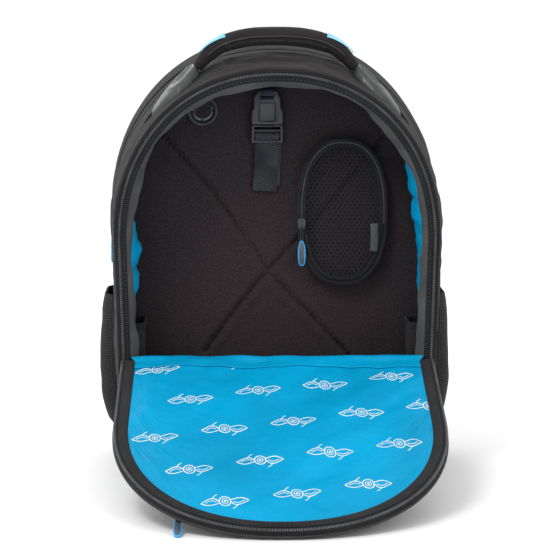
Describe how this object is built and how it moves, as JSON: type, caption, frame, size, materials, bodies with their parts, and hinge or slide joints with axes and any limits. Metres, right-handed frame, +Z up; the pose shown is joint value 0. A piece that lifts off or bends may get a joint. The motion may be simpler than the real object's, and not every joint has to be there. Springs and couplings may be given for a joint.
{
  "type": "flight bag",
  "caption": "Arched pilot's backpack standing on its base with the front panel folded down, blue lining, mesh pouch, headset strap, side pockets and shoulder straps.",
  "frame": {"origin": "middle of the underside of the base panel, midway between the front rim and the back panel", "axes": "+X to the right as seen from the front, +Y to the back, +Z up"},
  "size_m": [0.352, 0.4785, 0.431],
  "materials": {
    "shell_fabric": "dense woven polyester, matt charcoal",
    "lining_nylon": "satin nylon with a printed repeat motif",
    "webbing": "ribbed webbing and folded binding",
    "padded_fabric": "heathered soft loop fabric over foam",
    "mesh_fabric": "open knitted mesh",
    "zip_chain": "moulded tooth chain on woven tape",
    "buckle_plastic": "fine-textured acetal",
    "rubber": "moulded rubber, satin",
    "accent_blue": "coated strip",
    "zip_metal": "dark enamelled die casting",
    "pull_rubber": "moulded rubber pull"
  },
  "bodies": {
    "bag": {"base_panel": "shell_fabric", "main_gusset": "shell_fabric", "main_lining": "lining_nylon", "rim_binding": "webbing", "front_lower_panel": "shell_fabric", "rear_gusset": "shell_fabric", "rear_zip_chain": "zip_chain", "back_panel": "padded_fabric", "divider_panel": "padded_fabric", "cable_port": "rubber", "rim_zip_tape": "zip_chain", "rim_zip_leg_right": "zip_chain", "rim_zip_leg_left": "zip_chain", "pouch_gusset": "shell_fabric", "pouch_zip_ring": "zip_chain", "pouch_mesh": "mesh_fabric", "pouch_tag": "webbing", "side_pocket_right": "mesh_fabric", "side_pocket_left": "mesh_fabric", "inner_mesh_pocket_right": "mesh_fabric", "inner_mesh_pocket_left": "mesh_fabric", "handle_anchor_right": "rubber", "handle_anchor_left": "rubber", "strap_tab": "webbing", "back_pad_right": "mesh_fabric", "back_pad_left": "mesh_fabric", "lumbar_pad": "mesh_fabric", "strap_yoke": "shell_fabric", "strap_wedge_right": "shell_fabric", "strap_wedge_left": "shell_fabric"},
    "front_panel": {"front_panel_zip_tape": "zip_chain", "front_panel_binding": "webbing", "front_panel_lining": "lining_nylon", "front_panel_board": "shell_fabric", "front_pocket": "shell_fabric"},
    "handle": {"handle_grip": "shell_fabric", "handle_accent_right": "accent_blue", "handle_accent_left": "accent_blue"},
    "headset_strap": {"buckle_socket": "buckle_plastic"},
    "buckle_end": {"buckle_plug": "buckle_plastic", "strap_webbing": "webbing"},
    "main_left_slider": {"main_left_slider": "zip_metal"},
    "main_left_pull": {"main_left_pull": "pull_rubber"},
    "main_right_slider": {"main_right_slider": "zip_metal"},
    "main_right_pull": {"main_right_pull": "pull_rubber"},
    "side_slider": {"side_slider": "zip_metal"},
    "side_pull": {"side_pull": "pull_rubber"},
    "pouch_slider": {"pouch_slider": "zip_metal"},
    "pouch_pull": {"pouch_pull": "pull_rubber"},
    "pocket_slider": {"pocket_slider": "zip_metal"},
    "pocket_pull": {"pocket_pull": "pull_rubber"},
    "shoulder_strap_right": {"shoulder_pad_right": "padded_fabric", "shoulder_top_webbing_right": "webbing", "shoulder_adjuster_right": "buckle_plastic", "shoulder_low_webbing_right": "webbing"},
    "shoulder_strap_left": {"shoulder_pad_left": "padded_fabric", "shoulder_top_webbing_left": "webbing", "shoulder_adjuster_left": "buckle_plastic", "shoulder_low_webbing_left": "webbing"}
  },
  "joints": [
    {"name": "front_panel_fold", "type": "hinge", "parent": "bag", "child": "front_panel", "pos_m": [0, -0.091, 0.118], "axis": [-1, 0, 0], "range_deg": [0, 113.39]},
    {"name": "handle_tilt", "type": "hinge", "parent": "bag", "child": "handle", "pos_m": [0, -0.03, 0.391], "axis": [1, 0, 0], "range_deg": [-12, 20]},
    {"name": "headset_strap_swing", "type": "hinge", "parent": "bag", "child": "headset_strap", "pos_m": [-0.008, 0, 0.371], "axis": [-1, 0, 0], "range_deg": [0, 35]},
    {"name": "buckle_release", "type": "slide", "parent": "headset_strap", "child": "buckle_end", "axis": [0, 0, -1], "range_m": [0, 0.04]},
    {"name": "main_left_slider_run", "type": "slide", "parent": "bag", "child": "main_left_slider", "axis": [-0.0306, 0, 0.9995], "range_m": [0, 0.045]},
    {"name": "main_left_pull_swing", "type": "hinge", "parent": "main_left_slider", "child": "main_left_pull", "pos_m": [-0.14236, -0.09265, 0.0391], "axis": [-1, 0, 0], "range_deg": [0, 80]},
    {"name": "main_right_slider_run", "type": "slide", "parent": "bag", "child": "main_right_slider", "axis": [0.0306, 0, 0.9995], "range_m": [0, 0.045]},
    {"name": "main_right_pull_swing", "type": "hinge", "parent": "main_right_slider", "child": "main_right_pull", "pos_m": [0.14236, -0.09265, 0.0391], "axis": [-1, 0, 0], "range_deg": [0, 80]},
    {"name": "side_slider_run", "type": "slide", "parent": "bag", "child": "side_slider", "axis": [0, 0, -1], "range_m": [0, 0.04]},
    {"name": "side_pull_swing", "type": "hinge", "parent": "side_slider", "child": "side_pull", "pos_m": [-0.16248, 0.038, 0.2311], "axis": [0, 1, 0], "range_deg": [0, 80]},
    {"name": "pouch_slider_run", "type": "slide", "parent": "bag", "child": "pouch_slider", "axis": [0, 0, 1], "range_m": [0, 0.014]},
    {"name": "pouch_pull_swing", "type": "hinge", "parent": "pouch_slider", "child": "pouch_pull", "pos_m": [0.0255, -0.01695, 0.2331], "axis": [-1, 0, 0], "range_deg": [0, 80]},
    {"name": "pocket_slider_run", "type": "slide", "parent": "front_panel", "child": "pocket_slider", "axis": [1, 0, 0], "range_m": [0, 0.12]},
    {"name": "pocket_pull_swing", "type": "hinge", "parent": "pocket_slider", "child": "pocket_pull", "pos_m": [-0.092, -0.29564, 0.01503], "axis": [1, 0, 0], "range_deg": [0, 80]},
    {"name": "shoulder_strap_right_swing", "type": "hinge", "parent": "bag", "child": "shoulder_strap_right", "pos_m": [0.112, 0.106, 0.044], "axis": [0.1973, 0, -0.9804], "range_deg": [0, 20]},
    {"name": "shoulder_strap_left_swing", "type": "hinge", "parent": "bag", "child": "shoulder_strap_left", "pos_m": [-0.112, 0.106, 0.044], "axis": [0.1973, 0, 0.9804], "range_deg": [0, 20]}
  ]
}
